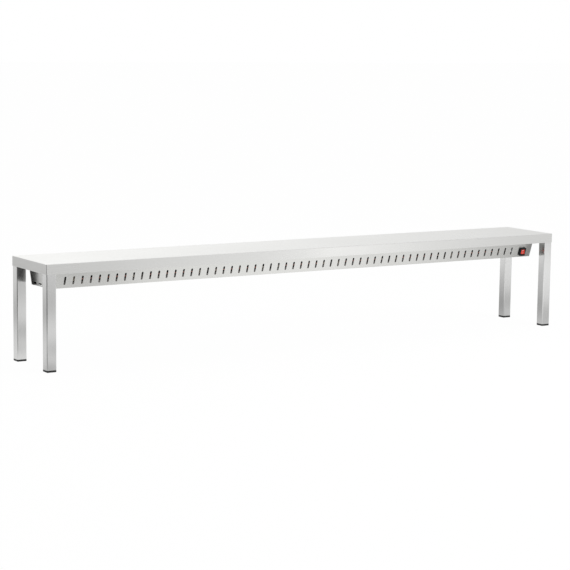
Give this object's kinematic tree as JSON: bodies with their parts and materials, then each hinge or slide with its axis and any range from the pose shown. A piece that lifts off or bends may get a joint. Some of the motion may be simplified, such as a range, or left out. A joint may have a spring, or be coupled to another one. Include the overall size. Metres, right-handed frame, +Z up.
{
  "type": "food warming gantry",
  "caption": "Long steel shelf on square legs, with a slotted heat-lamp housing hung beneath it to keep plates of food warm and a rocker switch at its front.",
  "frame": {"origin": "on the counter, under the middle of the shelf", "axes": "+X along the shelf towards the switch end, -Y out of the front, +Z up"},
  "size_m": [2.5, 0.32, 0.42],
  "materials": {
    "shelf_steel": "satin, brushed along the shelf",
    "leg_steel": "satin, brushed along the tube",
    "housing_steel": "satin, brushed along the housing",
    "inner_steel": "mill finish, dulled by heat",
    "reflector_metal": "polished",
    "foot_plastic": "moulded, fine matt",
    "switch_black": "moulded nylon, satin",
    "switch_red": "translucent, polished",
    "mark_white": "pad-printed ink",
    "lamp_quartz": "coated quartz, clear gloss",
    "filament_metal": "drawn tungsten",
    "lamp_ceramic": "unglazed steatite",
    "brass_parts": "pressed and turned brass",
    "fastener_steel": "turned, bright",
    "guard_wire": "drawn wire, spot-welded",
    "wire_sleeve": "braided glass sleeving",
    "gland_plastic": "moulded nylon",
    "seal_rubber": "moulded, matt"
  },
  "bodies": {
    "gantry": {"bracket_nuts": "fastener_steel", "bracket_screws": "fastener_steel", "bus_insulators": "lamp_ceramic", "cord_grommet": "seal_rubber", "earth_nuts": "brass_parts", "earth_stud": "brass_parts", "foot_cap_front_left": "foot_plastic", "foot_cap_front_right": "foot_plastic", "foot_cap_rear_left": "foot_plastic", "foot_cap_rear_right": "foot_plastic", "gland_body": "gland_plastic", "gland_cap": "gland_plastic", "gland_locknut": "gland_plastic", "gland_seal": "seal_rubber", "guard_clips": "inner_steel", "guard_nuts": "fastener_steel", "guard_screws": "fastener_steel", "housing_end_left": "housing_steel", "housing_end_right": "housing_steel", "housing_front_wall": "housing_steel", "housing_nuts": "fastener_steel", "housing_rear_wall": "housing_steel", "housing_studs": "fastener_steel", "lamp_brackets": "inner_steel", "lamp_caps": "lamp_ceramic", "lamp_filaments": "filament_metal", "lamp_guard": "guard_wire", "lamp_sockets": "lamp_ceramic", "lamp_tube_1": "lamp_quartz", "lamp_tube_2": "lamp_quartz", "lamp_tube_3": "lamp_quartz", "lamp_tube_4": "lamp_quartz", "lamp_tube_5": "lamp_quartz", "lamp_tube_6": "lamp_quartz", "lamp_tube_7": "lamp_quartz", "leg_front_left": "leg_steel", "leg_front_right": "leg_steel", "leg_nuts": "fastener_steel", "leg_plates": "inner_steel", "leg_rear_left": "leg_steel", "leg_rear_right": "leg_steel", "leg_studs": "fastener_steel", "live_bus_wire": "wire_sleeve", "live_leads": "wire_sleeve", "neutral_bus_wire": "wire_sleeve", "neutral_leads": "wire_sleeve", "reflector": "reflector_metal", "socket_contacts": "brass_parts", "socket_screws": "fastener_steel", "switch_body": "switch_black", "switch_cover": "inner_steel", "switch_terminals": "brass_parts", "switch_wires": "wire_sleeve", "terminal_block": "lamp_ceramic", "top_panel": "shelf_steel", "tray_bushes": "lamp_ceramic", "wiring_tray": "inner_steel"},
    "rocker": {"switch_rocker": "switch_red", "rocker_marks": "mark_white"}
  },
  "joints": [
    {"name": "rocker_tilt", "type": "hinge", "parent": "gantry", "child": "rocker", "pos_m": [1.136, -0.08854, 0.33718], "axis": [1, 0, 0], "range_deg": [0, 20]}
  ]
}
